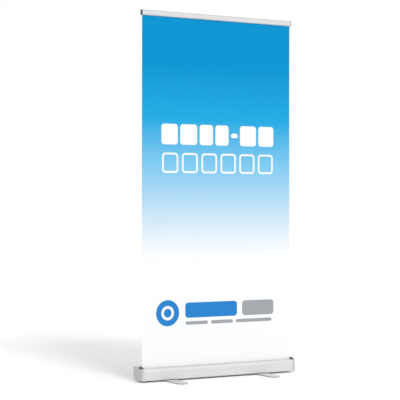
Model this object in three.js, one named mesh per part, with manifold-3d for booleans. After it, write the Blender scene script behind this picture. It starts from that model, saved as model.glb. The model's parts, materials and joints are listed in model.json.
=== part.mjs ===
// Roll-up banner stand: a spring roller in a flat cassette, a telescopic pole behind the film,
// a clamp rail on top and two swivelling feet.
// Units are millimetres. +X runs along the cassette to the right of a person facing the print,
// +Y points to the back, +Z is up. The origin is on the floor, midway between the feet's tips.
import * as THREE from 'three';
import { mergeVertices } from 'three/addons/utils/BufferGeometryUtils.js';
import Module from 'manifold-3d';

const wasm = await Module();
wasm.setup();

// ---- Driving dimensions ---------------------------------------------------
const GAP = 0.3;                 // air left between pieces that touch

const FILM_WIDTH = 1000;         // the print, edge to edge
const FILM_THICK = 0.4;
const FILM_Y = 0.6;              // mid-plane of the film, measured from the slot's centre
const SLOT_Y = 8;                // the slot's centre lies this far behind the feet's centre
const SLOT_HALF = 5;

const CASSETTE_BOTTOM = 9.5;     // underside of the cassette above the floor
const CASSETTE_FRONT = -33;      // outside of the front wall, measured from the slot's centre
const CASSETTE_BACK = 71;        // foot of the back wall, which bulges a little above
const CASSETTE_TOP = 87.5;
const LIP_Z = 79;                // top of the front lip beside the slot
const LIP_BEND = -13;            // the lip slopes gently from the slot to here, then rounds over ...
const SHOULDER_Z = 60;           // ... into the front wall at this height
const WALL = 1.8;
const SHELL_HALF = 501.7;        // half the length of the extrusion
const CAP_INNER = 502;           // end caps run from here ...
const CAP_OUTER = 518;           // ... to here
const CAP_PROUD = 0.6;

const ROLLER_Y = -15;
const ROLLER_Z = 44;
const ROLLER_R = 14;
const ROLLER_WALL = 1.4;
const ROLLER_HALF = 497;
const WOUND_R = 15.1;            // outside of the film wound on the roller

const FOOT_LENGTH = 374;
const FOOT_WIDTH = 70;
const FOOT_BOTTOM = 3;
const FOOT_TOP = 7;
const FOOT_PIVOT_Y = -SLOT_Y;    // brings the feet's centre to the origin
const FOOT_LEFT_X = -331;
const FOOT_RIGHT_X = 286;
const PAD_R = 12;
const STOP_R = 2.5;

const POLE_Y = 24;
const POLE = {
  lower: { outer: 11, inner: 9.9, bottom: 28.3, top: 718 },
  mid: { outer: 9.5, inner: 8.5, bottom: 660, top: 1360 },
  upper: { outer: 8, inner: 7, bottom: 1302, top: 2072 },
};
const POLE_TRAVEL = 600;         // each of the two sliding tubes comes down this far
const COLLAR_R = 14.5;
const COLLAR_HEIGHT = 34;
const COLLAR_GRIP = 14;          // how far a collar reaches down over its own tube

const RAIL_BOTTOM = 2078;
const RAIL_HEIGHT = 32;
const RAIL_HALF = 501.7;
const RAIL_CAP = 3.5;
const RAIL_HINGE = { y: -3.4, z: 27.4, bead: 1.6, socket: 1.9 };
const FILM_BOTTOM = ROLLER_Z;
const FILM_TOP = RAIL_BOTTOM + 24;
const FILM_LAST = 76;            // height, in the slot, of the film's last part that stays out
const FILM_SPLIT = FILM_LAST + 2 * POLE_TRAVEL;

const TURN_SIDES = 24;           // facets round a tube
const SMALL_SIDES = 12;          // facets round a screw

// ---- Materials --------------------------------------------------------------
const finish = (color, roughness, metalness) => new THREE.MeshStandardMaterial({ color, roughness, metalness });
const MATERIAL = {
  aluminium: finish(0xdcdddd, 0.38, 0.85),
  capGrey: finish(0xc4c6c7, 0.55, 0.0),
  darkPlastic: finish(0x4a4c4e, 0.6, 0.0),
  blackPlastic: finish(0x232426, 0.55, 0.0),
  powderCoat: finish(0xd2d4d5, 0.5, 0.3),
  steel: finish(0xa9abad, 0.3, 1.0),
  rubber: finish(0x2a2a2a, 0.9, 0.0),
  film: finish(0x8ecdf0, 0.45, 0.0),
  leader: finish(0xbfc0c0, 0.6, 0.0),
  nylon: finish(0xf0efe8, 0.5, 0.0),
};

// ---- Solid helpers --------------------------------------------------------
// Vertices that share a place become one, slivers left by that go, and the faces are turned outwards.
function closed(geometry) {
  const bare = geometry.clone();
  bare.deleteAttribute('normal');
  bare.deleteAttribute('uv');
  const merged = mergeVertices(bare, 1e-3);
  const position = merged.attributes.position;
  const index = [];
  for (let i = 0; i < merged.index.count; i += 3) {
    const [p, q, r] = [0, 1, 2].map((corner) => merged.index.getX(i + corner));
    if (p !== q && q !== r && r !== p) index.push(p, q, r);
  }
  const a = new THREE.Vector3();
  const b = new THREE.Vector3();
  const c = new THREE.Vector3();
  let volume = 0;
  for (let i = 0; i < index.length; i += 3) {
    a.fromBufferAttribute(position, index[i]);
    b.fromBufferAttribute(position, index[i + 1]);
    c.fromBufferAttribute(position, index[i + 2]);
    volume += a.dot(b.cross(c));
  }
  if (volume < 0) {
    for (let i = 0; i < index.length; i += 3) {
      [index[i + 1], index[i + 2]] = [index[i + 2], index[i + 1]];
    }
  }
  merged.setIndex(index);
  return merged;
}

function toSolid(geometry) {
  const merged = closed(geometry);
  return new wasm.Manifold(new wasm.Mesh({
    numProp: 3,
    vertProperties: new Float32Array(merged.attributes.position.array),
    triVerts: new Uint32Array(merged.index.array),
  }));
}

function toGeometry(solid) {
  const mesh = solid.getMesh();
  const geometry = new THREE.BufferGeometry();
  geometry.setAttribute('position', new THREE.BufferAttribute(mesh.vertProperties, 3));
  geometry.setIndex(new THREE.BufferAttribute(mesh.triVerts, 1));
  return geometry;
}

const cut = (base, ...tools) => toGeometry(tools.reduce((solid, tool) => solid.subtract(toSolid(tool)), toSolid(base)));
const join = (base, ...others) => toGeometry(others.reduce((solid, other) => solid.add(toSolid(other)), toSolid(base)));

// A Y-Z profile pushed along X from x0 to x1.
function alongX(shape, x0, x1, edge = 0) {
  const geometry = new THREE.ExtrudeGeometry(shape, {
    depth: x1 - x0 - 2 * edge,
    bevelEnabled: edge > 0,
    bevelThickness: edge,
    bevelSize: edge,
    bevelOffset: -edge,
    bevelSegments: 2,
    curveSegments: 5,
  });
  geometry.translate(0, 0, x0 + edge);
  geometry.applyMatrix4(new THREE.Matrix4().makeBasis(
    new THREE.Vector3(0, 1, 0), new THREE.Vector3(0, 0, 1), new THREE.Vector3(1, 0, 0),
  ));
  return geometry;
}

// An X-Y outline pushed up from z0 to z1.
function alongZ(shape, z0, z1, edge = 0) {
  const geometry = new THREE.ExtrudeGeometry(shape, {
    depth: z1 - z0 - 2 * edge,
    bevelEnabled: edge > 0,
    bevelThickness: edge,
    bevelSize: edge,
    bevelOffset: -edge,
    bevelSegments: 1,
    curveSegments: 8,
  });
  geometry.translate(0, 0, z0 + edge);
  return geometry;
}

// A profile of [radius, height] pairs turned about Z. It closes on itself.
function turned(profile, sides = TURN_SIDES) {
  const points = profile.map(([radius, height]) => new THREE.Vector2(radius, height));
  const onAxis = profile[0][0] === 0 && profile.at(-1)[0] === 0;
  if (!onAxis) points.push(points[0].clone());
  return new THREE.LatheGeometry(points, sides).rotateX(Math.PI / 2);
}

const disc = (radius, z0, z1, sides) => turned([[0, z0], [radius, z0], [radius, z1], [0, z1]], sides);
const ring = (outer, inner, z0, z1, sides) => turned([[inner, z0], [outer, z0], [outer, z1], [inner, z1]], sides);

// The same, with its axis along X (height becomes X).
const turnedX = (profile, sides) => turned(profile, sides).rotateY(Math.PI / 2);
const rodX = (radius, x0, x1, y, z, sides = SMALL_SIDES) => disc(radius, x0, x1, sides).rotateY(Math.PI / 2).translate(0, y, z);

function circle(radius, x = 0, y = 0) {
  const path = new THREE.Path();
  path.absarc(x, y, radius, 0, 2 * Math.PI, true);
  return path;
}

function mesh(name, geometry, material, parent, position = [0, 0, 0]) {
  const node = new THREE.Mesh(closed(geometry), material);
  node.name = name;
  node.position.set(...position);
  parent.add(node);
  return node;
}

const stand = new THREE.Group();
stand.position.y = SLOT_Y;       // the sub-parts below are placed from the slot's centre
const ENDS = [['left', -1], ['right', 1]];
const span = (side, near, far) => (side < 0 ? [-far, -near] : [near, far]);

// ---- Cassette ---------------------------------------------------------------
// Outside of the cassette, from the front shoulder round the bottom to the top of the back wall.
function traceOutside(shape, proud) {
  shape.lineTo(CASSETTE_FRONT - proud, CASSETTE_BOTTOM + 4);
  shape.quadraticCurveTo(
    CASSETTE_FRONT - proud, CASSETTE_BOTTOM - proud, CASSETTE_FRONT + 4, CASSETTE_BOTTOM - proud,
  );
  shape.lineTo(CASSETTE_BACK - 27, CASSETTE_BOTTOM - proud);
  shape.quadraticCurveTo(CASSETTE_BACK - 2 + proud, 10.5, CASSETTE_BACK + proud, 40);
  shape.quadraticCurveTo(CASSETTE_BACK + 1.2 + proud, 62, CASSETTE_BACK - 1 + proud, 84);
  shape.quadraticCurveTo(
    CASSETTE_BACK - 1 + proud, CASSETTE_TOP + proud, CASSETTE_BACK - 5, CASSETTE_TOP + proud,
  );
}

// Where the end caps' screws bite: a port in the front bottom corner and one in the top back corner.
const SCREW_PORTS = [['low', CASSETTE_FRONT + 6.2, 15.7], ['high', CASSETTE_BACK - 7.4, 81]];
const SCREW_PORT_R = 5.4;
const SCREW_SHANK_R = 1.8;
const SCREW_HOLE_R = 2.1;

function cassetteShell() {
  const profile = new THREE.Shape();
  profile.moveTo(-SLOT_HALF, LIP_Z);
  profile.lineTo(LIP_BEND, 77.6);
  profile.quadraticCurveTo(CASSETTE_FRONT + 3, 75.5, CASSETTE_FRONT, SHOULDER_Z);
  traceOutside(profile, 0);
  profile.lineTo(SLOT_HALF + 4, CASSETTE_TOP);
  profile.lineTo(SLOT_HALF, CASSETTE_TOP - 3.5);
  const floor = CASSETTE_BOTTOM + WALL;
  const front = CASSETTE_FRONT + WALL;
  profile.lineTo(SLOT_HALF, floor);
  profile.lineTo(front + 2.4, floor);
  profile.quadraticCurveTo(front, floor, front, floor + 2.4);
  profile.lineTo(front, SHOULDER_Z);
  profile.quadraticCurveTo(front + 2.7, 73.8, LIP_BEND, 75.8);
  profile.lineTo(-SLOT_HALF - WALL, LIP_Z - 2);
  profile.lineTo(-SLOT_HALF - WALL, 68);
  profile.lineTo(-SLOT_HALF, 68);
  profile.closePath();

  // The bay behind the web, where the pole's socket stands.
  const back = CASSETTE_BACK - WALL;
  const bayFloor = floor + 0.4;
  const bay = new THREE.Path();
  bay.moveTo(SLOT_HALF + WALL, bayFloor);
  bay.lineTo(SLOT_HALF + WALL, CASSETTE_TOP - 4.2);
  bay.lineTo(SLOT_HALF + WALL + 3, CASSETTE_TOP - WALL);
  bay.lineTo(back - 3.6, CASSETTE_TOP - WALL);
  bay.quadraticCurveTo(back - 1, CASSETTE_TOP - WALL, back - 1, 83);
  bay.quadraticCurveTo(back + 1.2, 62, back, 40);
  bay.quadraticCurveTo(back - 1.8, 12.3, back - 25.6, bayFloor);
  bay.closePath();
  profile.holes.push(bay);

  const ports = SCREW_PORTS.map(([, y, z]) => rodX(SCREW_PORT_R, -SHELL_HALF, SHELL_HALF, y, z));
  const bores = SCREW_PORTS.map(([, y, z]) => rodX(SCREW_HOLE_R, -SHELL_HALF - 5, SHELL_HALF + 5, y, z));
  const footHoles = [FOOT_LEFT_X, FOOT_RIGHT_X].map((x) => disc(3.4, 0, 18, SMALL_SIDES).translate(x, FOOT_PIVOT_Y, 0));
  const stopHoles = stopPlaces().map(([x, y]) => disc(STOP_R + GAP, 0, 25, SMALL_SIDES).translate(x, y, 0));
  const poleHole = disc(13.6, CASSETTE_TOP - 16, CASSETTE_TOP + 5).translate(0, POLE_Y, 0);
  const body = join(alongX(profile, -SHELL_HALF, SHELL_HALF), ...ports);
  return cut(body, ...bores, ...footHoles, ...stopHoles, poleHole);
}

// Hollow of an end cap, and with a margin the plate that fills its mouth.
function capHollow(margin) {
  const shape = new THREE.Shape();
  const front = CASSETTE_FRONT + 2.6 + margin;
  const back = CASSETTE_BACK - 3.2 - margin;
  shape.moveTo(front, 15 + margin);
  shape.quadraticCurveTo(front, 12.4 + margin, front + 2.4, 12.4 + margin);
  shape.lineTo(CASSETTE_BACK - 29, 12.4 + margin);
  shape.quadraticCurveTo(back - 1.8, 15 + margin, back, 42);
  shape.lineTo(back - 0.6, 84.2 - margin);
  shape.lineTo(9 + margin, 84.2 - margin);
  shape.lineTo(4 + margin, 74 - margin);
  shape.lineTo(CHEEK_FRONT + 4 + margin, 74 - margin);
  shape.quadraticCurveTo(front + 1.6, 72.6 - margin, front, SHOULDER_Z - 1);
  shape.closePath();
  return shape;
}

const CHEEK_FRONT = -24;         // the dark cheek on a cap covers the slot's end, from here ...
const CHEEK_BACK = 6;            // ... to here
const CHEEK_SEAT = 77.3;

function endCap(side) {
  const outline = new THREE.Shape();
  outline.moveTo(CHEEK_BACK, CASSETTE_TOP + CAP_PROUD);
  outline.lineTo(CHEEK_BACK, CHEEK_SEAT);
  outline.lineTo(CHEEK_FRONT, CHEEK_SEAT);
  outline.quadraticCurveTo(CASSETTE_FRONT + 1.4, 76.4, CASSETTE_FRONT - CAP_PROUD, SHOULDER_Z);
  traceOutside(outline, CAP_PROUD);
  outline.closePath();
  const cap = alongX(outline, ...span(side, CAP_INNER, CAP_OUTER), 1.4);
  const hollow = alongX(capHollow(0), ...span(side, CAP_INNER - 5, CAP_OUTER - 3.2));
  const recesses = SCREW_PORTS.map(([, y, z]) => rodX(3.7, ...span(side, CAP_OUTER - 2, CAP_OUTER + 5), y, z));
  const holes = SCREW_PORTS.map(([, y, z]) => rodX(SCREW_HOLE_R, ...span(side, CAP_INNER - 5, CAP_OUTER + 5), y, z));
  const tools = [hollow, ...recesses, ...holes];
  if (side > 0) tools.push(lockPinWay(LOCK_KNOB_R + 0.6, CAP_OUTER - 3.6, CAP_OUTER + 5));
  return cut(cap, ...tools);
}

// Dark plastic cheek that closes the end of the slot and rises above the lip.
function slotCheek(side) {
  const shape = new THREE.Shape();
  shape.moveTo(CHEEK_FRONT + 1, CHEEK_SEAT + GAP);
  shape.quadraticCurveTo(CHEEK_FRONT + 8, 88.6, -4, 90.2);
  shape.lineTo(CHEEK_BACK - GAP, 90.2);
  shape.lineTo(CHEEK_BACK - GAP, CHEEK_SEAT + GAP);
  shape.closePath();
  return alongX(shape, ...span(side, CAP_INNER + 0.3, CAP_OUTER - 0.8), 0.8);
}

function bearingPlate(side) {
  const plate = alongX(capHollow(0.5), ...span(side, CAP_INNER + 0.3, CAP_INNER + 4.3));
  const holes = SCREW_PORTS.map(([, y, z]) => rodX(SCREW_HOLE_R, ...span(side, 490, 530), y, z));
  const spindle = rodX(4.35, ...span(side, 490, 530), ROLLER_Y, ROLLER_Z, TURN_SIDES);
  const tools = [...holes, spindle];
  if (side > 0) tools.push(lockPinWay(LOCK_PIN_R + 0.3, 490, 530));
  return cut(plate, ...tools);
}

function capScrew(side) {
  const inner = 478;
  const head = CAP_OUTER - 2 + GAP;
  const profile = [
    [0, inner], [1.2, inner], [SCREW_SHANK_R, inner + 3], [SCREW_SHANK_R, head],
    [3.3, head], [3.3, head + 0.9], [2.4, head + 1.5], [0, head + 1.5],
  ];
  const screw = turnedX(profile, SMALL_SIDES);
  return side < 0 ? screw.rotateZ(Math.PI) : screw;
}

// The lock pin sits in the right cap and plate, in line with a hole in the roller's plug. It is parked
// with its tip in the plate, clear of the plug, so the roller turns.
const LOCK_PIN_R = 1.8;
const LOCK_KNOB_R = 6;
const LOCK_OFFSET_Z = -9.5;      // below the roller's axis
const lockPinWay = (radius, x0, x1) => rodX(radius, x0, x1, ROLLER_Y, ROLLER_Z + LOCK_OFFSET_Z, SMALL_SIDES);

function lockPin() {
  const knob = CAP_OUTER - 3.3;
  const tip = CAP_INNER + 0.9;
  return turnedX([
    [0, tip], [LOCK_PIN_R - 0.5, tip], [LOCK_PIN_R, tip + 1], [LOCK_PIN_R, knob],
    [LOCK_KNOB_R, knob], [LOCK_KNOB_R, knob + 2.2], [LOCK_KNOB_R - 0.8, knob + 3], [0, knob + 3],
  ], SMALL_SIDES + 4);
}

// Soft guide along the inside of the front lip, which the film slides past.
function slotGuide() {
  const shape = new THREE.Shape();
  shape.moveTo(-SLOT_HALF + GAP, 77.6);
  shape.lineTo(-2.2, 76.4);
  shape.quadraticCurveTo(-1.6, 73, -2.2, 69.6);
  shape.lineTo(-SLOT_HALF + GAP, 68.6);
  shape.closePath();
  return alongX(shape, -SHELL_HALF + 0.7, SHELL_HALF - 0.7);
}

mesh('cassette_shell', cassetteShell(), MATERIAL.aluminium, stand);
mesh('slot_guide', slotGuide(), MATERIAL.darkPlastic, stand);
for (const [end, side] of ENDS) {
  mesh(`end_cap_${end}`, endCap(side), MATERIAL.capGrey, stand);
  mesh(`slot_cheek_${end}`, slotCheek(side), MATERIAL.darkPlastic, stand);
  mesh(`bearing_plate_${end}`, bearingPlate(side), MATERIAL.darkPlastic, stand);
  for (const [place, y, z] of SCREW_PORTS) {
    mesh(`cap_screw_${end}_${place}`, capScrew(side), MATERIAL.steel, stand, [0, y, z]);
  }
}
mesh('lock_pin', lockPin(), MATERIAL.blackPlastic, stand, [0, ROLLER_Y, ROLLER_Z + LOCK_OFFSET_Z]);

// ---- Spring roller ----------------------------------------------------------
const SHAFT_R = 4;
const SHAFT_END = -505.8;        // held in the left bearing plate
const SPRING = { radius: 9, wire: 1, from: -452, to: -250, turns: 16 };

const roller = new THREE.Group();
roller.position.set(0, ROLLER_Y, ROLLER_Z);
stand.add(roller);

function torsionSpring() {
  class Helix extends THREE.Curve {
    getPoint(t, target = new THREE.Vector3()) {
      const angle = 2 * Math.PI * SPRING.turns * t;
      const x = SPRING.from + (SPRING.to - SPRING.from) * t;
      return target.set(x, SPRING.radius * Math.cos(angle), SPRING.radius * Math.sin(angle));
    }
  }
  const wire = new THREE.Shape();
  wire.absarc(0, 0, SPRING.wire, 0, 2 * Math.PI);
  return new THREE.ExtrudeGeometry(wire, {
    extrudePath: new Helix(),
    steps: SPRING.turns * 9,
    curveSegments: 3,
    bevelEnabled: false,
  });
}

// Plug in the roller's end: a flange against the tube, a spigot inside it, a bore for the shaft.
function rollerPlug(side) {
  const bore = SHAFT_R + 0.35;
  const flange = ROLLER_HALF + GAP;
  const outer = ROLLER_HALF + 4;
  const inner = ROLLER_HALF - 22;
  const spigot = ROLLER_R - ROLLER_WALL - GAP;
  const plug = turnedX([
    [bore, inner], [spigot, inner], [spigot, flange], [ROLLER_R, flange], [ROLLER_R, outer], [bore, outer],
  ]);
  if (side < 0) return plug.rotateZ(Math.PI);
  return cut(plug, rodX(LOCK_PIN_R + 0.4, 485, 510, 0, LOCK_OFFSET_Z));
}

const tubeX = (outer, inner, half) => ring(outer, inner, -half, half).rotateY(Math.PI / 2);
mesh('roller_tube', tubeX(ROLLER_R, ROLLER_R - ROLLER_WALL, ROLLER_HALF), MATERIAL.aluminium, roller);
mesh('wound_film', tubeX(WOUND_R, ROLLER_R + GAP, FILM_WIDTH / 2), MATERIAL.leader, roller);
for (const [end, side] of ENDS) mesh(`roller_plug_${end}`, rollerPlug(side), MATERIAL.nylon, roller);
mesh('spring_shaft', rodX(SHAFT_R, SHAFT_END, -236, 0, 0, TURN_SIDES), MATERIAL.steel, roller);
mesh('idle_pin', rodX(SHAFT_R, 470, -SHAFT_END, 0, 0, TURN_SIDES), MATERIAL.steel, roller);
mesh('torsion_spring', torsionSpring(), MATERIAL.steel, roller);
mesh('spring_anchor', turnedX([
  [SHAFT_R + GAP, -246], [12, -246], [12, -240], [SHAFT_R + GAP, -240],
]), MATERIAL.nylon, roller);

// ---- Feet -------------------------------------------------------------------
// Each stop stud stands beside its foot, outboard and behind, and holds it square or stowed.
function stopPlaces() {
  const reach = FOOT_WIDTH / 2 + GAP + STOP_R;
  return [[FOOT_LEFT_X - reach, FOOT_PIVOT_Y + reach], [FOOT_RIGHT_X + reach, FOOT_PIVOT_Y + reach]];
}

function footPlate() {
  const half = FOOT_LENGTH / 2 - FOOT_WIDTH / 2;
  const shape = new THREE.Shape();
  shape.absarc(0, half, FOOT_WIDTH / 2, 0, Math.PI);
  shape.absarc(0, -half, FOOT_WIDTH / 2, Math.PI, 2 * Math.PI);
  shape.closePath();
  shape.holes.push(circle(3.3));
  return alongZ(shape, FOOT_BOTTOM, FOOT_TOP, 0.7);
}

const pivotBolt = () => turned([
  [0, 0.8], [5.4, 0.8], [6.5, 1.6], [6.5, FOOT_BOTTOM - GAP], [3, FOOT_BOTTOM - GAP], [3, 18.6], [2.4, 19.4], [0, 19.4],
], SMALL_SIDES + 4);

function lockNut() {
  const nut = new THREE.Shape();
  for (let i = 0; i < 6; i += 1) {
    const corner = [5.6 * Math.cos((i * Math.PI) / 3), 5.6 * Math.sin((i * Math.PI) / 3)];
    if (i === 0) nut.moveTo(...corner);
    else nut.lineTo(...corner);
  }
  nut.closePath();
  nut.holes.push(circle(3.3));
  const floor = CASSETTE_BOTTOM + WALL;
  return alongZ(nut, floor + GAP, floor + 5.3, 0.4);
}

const padReach = FOOT_LENGTH / 2 - 24;
[['left', FOOT_LEFT_X], ['right', FOOT_RIGHT_X]].forEach(([end, x], i) => {
  const foot = new THREE.Group();
  foot.position.set(x, FOOT_PIVOT_Y, 0);
  stand.add(foot);
  mesh(`foot_${end}`, footPlate(), MATERIAL.powderCoat, foot);
  mesh(`pivot_bolt_${end}`, pivotBolt(), MATERIAL.steel, foot);
  mesh(`lock_nut_${end}`, lockNut(), MATERIAL.steel, foot);
  mesh(`pivot_washer_${end}`, ring(12, 3.3, FOOT_TOP + GAP, CASSETTE_BOTTOM - GAP), MATERIAL.nylon, foot);
  for (const [place, y] of [['front', -padReach], ['back', padReach]]) {
    const pad = turned([[0, 0], [PAD_R - 1, 0], [PAD_R, 1], [PAD_R, FOOT_BOTTOM - GAP], [0, FOOT_BOTTOM - GAP]]);
    mesh(`foot_pad_${end}_${place}`, pad, MATERIAL.rubber, foot, [0, y, 0]);
  }
  const stud = turned([[0, 3.6], [STOP_R, 3.6], [STOP_R, 21], [0, 21]], SMALL_SIDES);
  mesh(`stop_stud_${end}`, stud, MATERIAL.steel, stand, [...stopPlaces()[i], 0]);
});

// ---- Telescopic pole ----------------------------------------------------------
const pole = new THREE.Group();
pole.position.y = POLE_Y;
stand.add(pole);

const SOCKET_FLOOR = 22;
const plugBase = POLE.lower.bottom - GAP;
mesh('pole_socket', turned([
  [0, SOCKET_FLOOR], [13.2, SOCKET_FLOOR], [13.2, CASSETTE_TOP + GAP], [17, CASSETTE_TOP + GAP],
  [17, 89.6], [16, 90.6], [11.4, 90.6], [11.4, SOCKET_FLOOR + 3], [0, SOCKET_FLOOR + 3],
]), MATERIAL.darkPlastic, pole);
mesh('pole_foot_plug', turned([
  [0, SOCKET_FLOOR + 3.3], [11, SOCKET_FLOOR + 3.3], [11, plugBase], [9.6, plugBase], [9.6, 42], [0, 42],
]), MATERIAL.blackPlastic, pole);

for (const [section, { outer, inner, bottom, top }] of Object.entries(POLE)) {
  mesh(`pole_${section}`, ring(outer, inner, bottom, top), MATERIAL.aluminium, pole);
}

// A bush closes the bottom of a sliding tube and guides it inside the next one.
function guideBush(tube, guide) {
  const seat = tube.bottom - GAP;
  return turned([
    [0, seat - 8], [guide.inner - 1.2, seat - 8], [guide.inner - GAP, seat - 7], [guide.inner - GAP, seat],
    [tube.inner - GAP, seat], [tube.inner - GAP, seat + 18], [0, seat + 18],
  ]);
}
mesh('guide_bush_mid', guideBush(POLE.mid, POLE.lower), MATERIAL.nylon, pole);
mesh('guide_bush_upper', guideBush(POLE.upper, POLE.mid), MATERIAL.nylon, pole);

// A twist collar grips the top of one tube and closes round the next.
function twistCollar(tube, next) {
  const low = tube.top - COLLAR_GRIP;
  const high = low + COLLAR_HEIGHT;
  return turned([
    [tube.outer + GAP, low], [COLLAR_R - 1.2, low], [COLLAR_R, low + 3], [COLLAR_R, high - 9],
    [COLLAR_R - 2.2, high], [next.outer + GAP, high], [next.outer + GAP, tube.top + GAP], [tube.outer + GAP, tube.top + GAP],
  ]);
}
mesh('collar_lower', twistCollar(POLE.lower, POLE.mid), MATERIAL.blackPlastic, pole);
mesh('collar_upper', twistCollar(POLE.mid, POLE.upper), MATERIAL.blackPlastic, pole);

const tipSeat = POLE.upper.top + GAP;
const TIP_R = 5;
const TIP_TOP = RAIL_BOTTOM + 16;
mesh('pole_tip', turned([
  [0, tipSeat - 20], [6.7, tipSeat - 20], [6.7, tipSeat], [8.6, tipSeat], [8.6, RAIL_BOTTOM],
  [TIP_R, RAIL_BOTTOM], [TIP_R, TIP_TOP - 1.5], [TIP_R - 1.5, TIP_TOP], [0, TIP_TOP],
]), MATERIAL.blackPlastic, pole);

// ---- Top rail ------------------------------------------------------------------
const rail = new THREE.Group();
rail.position.z = RAIL_BOTTOM;
stand.add(rail);

const HOOK_SCREW_X = 20;
const HOOK_SCREW_Z = 16;
const RAIL_BACK = 10;

function railBack() {
  const shape = new THREE.Shape();
  shape.moveTo(1.3, 0.5);
  shape.lineTo(8.5, 0.5);
  shape.quadraticCurveTo(RAIL_BACK, 0.5, RAIL_BACK, 2.5);
  shape.lineTo(RAIL_BACK, 24);
  shape.quadraticCurveTo(RAIL_BACK, RAIL_HEIGHT, 4.5, RAIL_HEIGHT);
  shape.lineTo(-1.5, RAIL_HEIGHT);
  shape.quadraticCurveTo(-5, 31.6, -6, 29.4);
  shape.lineTo(-4.8, 28.4);
  shape.lineTo(-1.4, 25.4);
  shape.lineTo(2.9, 25.4);
  shape.lineTo(2.9, 11);
  shape.lineTo(1.3, 10);
  shape.closePath();
  const hollow = new THREE.Path();
  hollow.moveTo(4.7, 2.4);
  hollow.lineTo(4.7, 29.4);
  hollow.quadraticCurveTo(8.2, 29.4, 8.2, 24);
  hollow.lineTo(8.2, 2.4);
  hollow.closePath();
  shape.holes.push(hollow);
  const socket = rodX(RAIL_HINGE.socket, -510, 510, RAIL_HINGE.y, RAIL_HINGE.z);
  const screwHoles = [-1, 1].map((side) => disc(1.9, 0, 8, SMALL_SIDES).rotateX(-Math.PI / 2)
    .translate(side * HOOK_SCREW_X, 6.5, HOOK_SCREW_Z));
  return cut(alongX(shape, -RAIL_HALF, RAIL_HALF), socket, ...screwHoles);
}

// The front jaw hangs from a bead under the rail's nose and presses the film back.
function railJaw() {
  const shape = new THREE.Shape();
  shape.moveTo(-4.6, 27);
  shape.bezierCurveTo(-8, 25.6, -9.8, 22, -10, 17);
  shape.bezierCurveTo(-10.2, 8, -7, 0.6, -1.5, 0);
  shape.lineTo(0.1, 0);
  shape.lineTo(0.1, 5);
  shape.lineTo(-1.6, 6.2);
  shape.bezierCurveTo(-5.6, 6.6, -8.3, 11, -8.3, 17);
  shape.bezierCurveTo(-8, 21.5, -6.5, 24, -3.2, 26);
  shape.closePath();
  const bead = rodX(RAIL_HINGE.bead, -501.4, 501.4, RAIL_HINGE.y, RAIL_HINGE.z);
  return join(alongX(shape, -501.4, 501.4), bead);
}

function railCap(side) {
  const shape = new THREE.Shape();
  shape.moveTo(-1.5, 0);
  shape.lineTo(8, 0);
  shape.quadraticCurveTo(RAIL_BACK, 0, RAIL_BACK, 2.5);
  shape.lineTo(RAIL_BACK, 24);
  shape.quadraticCurveTo(RAIL_BACK, RAIL_HEIGHT, 4.5, RAIL_HEIGHT);
  shape.lineTo(-1.5, RAIL_HEIGHT);
  shape.quadraticCurveTo(-8.6, 30, -10, 17);
  shape.bezierCurveTo(-10.2, 8, -7, 0.6, -1.5, 0);
  shape.closePath();
  return alongX(shape, ...span(side, RAIL_HALF + GAP, RAIL_HALF + GAP + RAIL_CAP), 0.6);
}

// Bracket on the back of the rail, with a blind hole that drops over the pole's tip.
function poleHook() {
  const outline = new THREE.Shape();
  const near = RAIL_BACK + GAP;
  outline.moveTo(-27, near);
  outline.lineTo(27, near);
  outline.lineTo(27, near + 3.5);
  outline.lineTo(15, near + 3.5);
  outline.lineTo(13, POLE_Y);
  outline.absarc(0, POLE_Y, 13, 0, Math.PI);
  outline.lineTo(-15, near + 3.5);
  outline.lineTo(-27, near + 3.5);
  outline.closePath();
  const block = alongZ(outline, GAP, 26, 0.8);
  const bore = disc(TIP_R + 0.4, -5, TIP_TOP - RAIL_BOTTOM + 1.5).translate(0, POLE_Y, 0);
  const screwHoles = [-1, 1].map((side) => disc(2.2, 0, 12, SMALL_SIDES).rotateX(-Math.PI / 2)
    .translate(side * HOOK_SCREW_X, 6, HOOK_SCREW_Z));
  return cut(block, bore, ...screwHoles);
}

function hookScrew() {
  const head = RAIL_BACK + GAP + 3.5 + GAP;
  return turned([
    [0, 6.9], [1.6, 6.9], [1.6, head], [3.6, head], [3.6, head + 1.2], [2.4, head + 2], [0, head + 2],
  ], SMALL_SIDES).rotateX(-Math.PI / 2);
}

mesh('rail_back', railBack(), MATERIAL.aluminium, rail);
mesh('rail_jaw', railJaw(), MATERIAL.aluminium, rail);
mesh('pole_hook', poleHook(), MATERIAL.blackPlastic, rail);
for (const [end, side] of ENDS) {
  mesh(`rail_cap_${end}`, railCap(side), MATERIAL.darkPlastic, rail);
  mesh(`hook_screw_${end}`, hookScrew(), MATERIAL.steel, rail, [side * HOOK_SCREW_X, 0, HOOK_SCREW_Z]);
}

// ---- Film ------------------------------------------------------------------------
function panel(y0, y1, z0, z1, halfWidth) {
  return new THREE.BoxGeometry(2 * halfWidth, y1 - y0, z1 - z0).translate(0, (y0 + y1) / 2, (z0 + z1) / 2);
}
const filmFront = FILM_Y - FILM_THICK / 2;
const filmBack = FILM_Y + FILM_THICK / 2;
// The lower part winds onto the roller as the pole comes down. The upper part comes down with the rail.
mesh('film_lower', panel(filmFront, filmBack, FILM_BOTTOM, FILM_SPLIT - GAP, FILM_WIDTH / 2), MATERIAL.film, stand);
mesh('film_upper', panel(filmFront, filmBack, FILM_SPLIT, FILM_TOP, FILM_WIDTH / 2), MATERIAL.film, stand);
// A strip stuck along the film's top edge keeps it from slipping out of the rail.
mesh('grip_strip', panel(filmBack + GAP, filmBack + GAP + 1.2, 12.5, 24, FILM_WIDTH / 2 - 2), MATERIAL.leader, rail);

export default stand;
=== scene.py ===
"""Roll-up banner stand: a printed film held between a spring-roller cassette and a top rail."""
import json
import math

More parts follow.
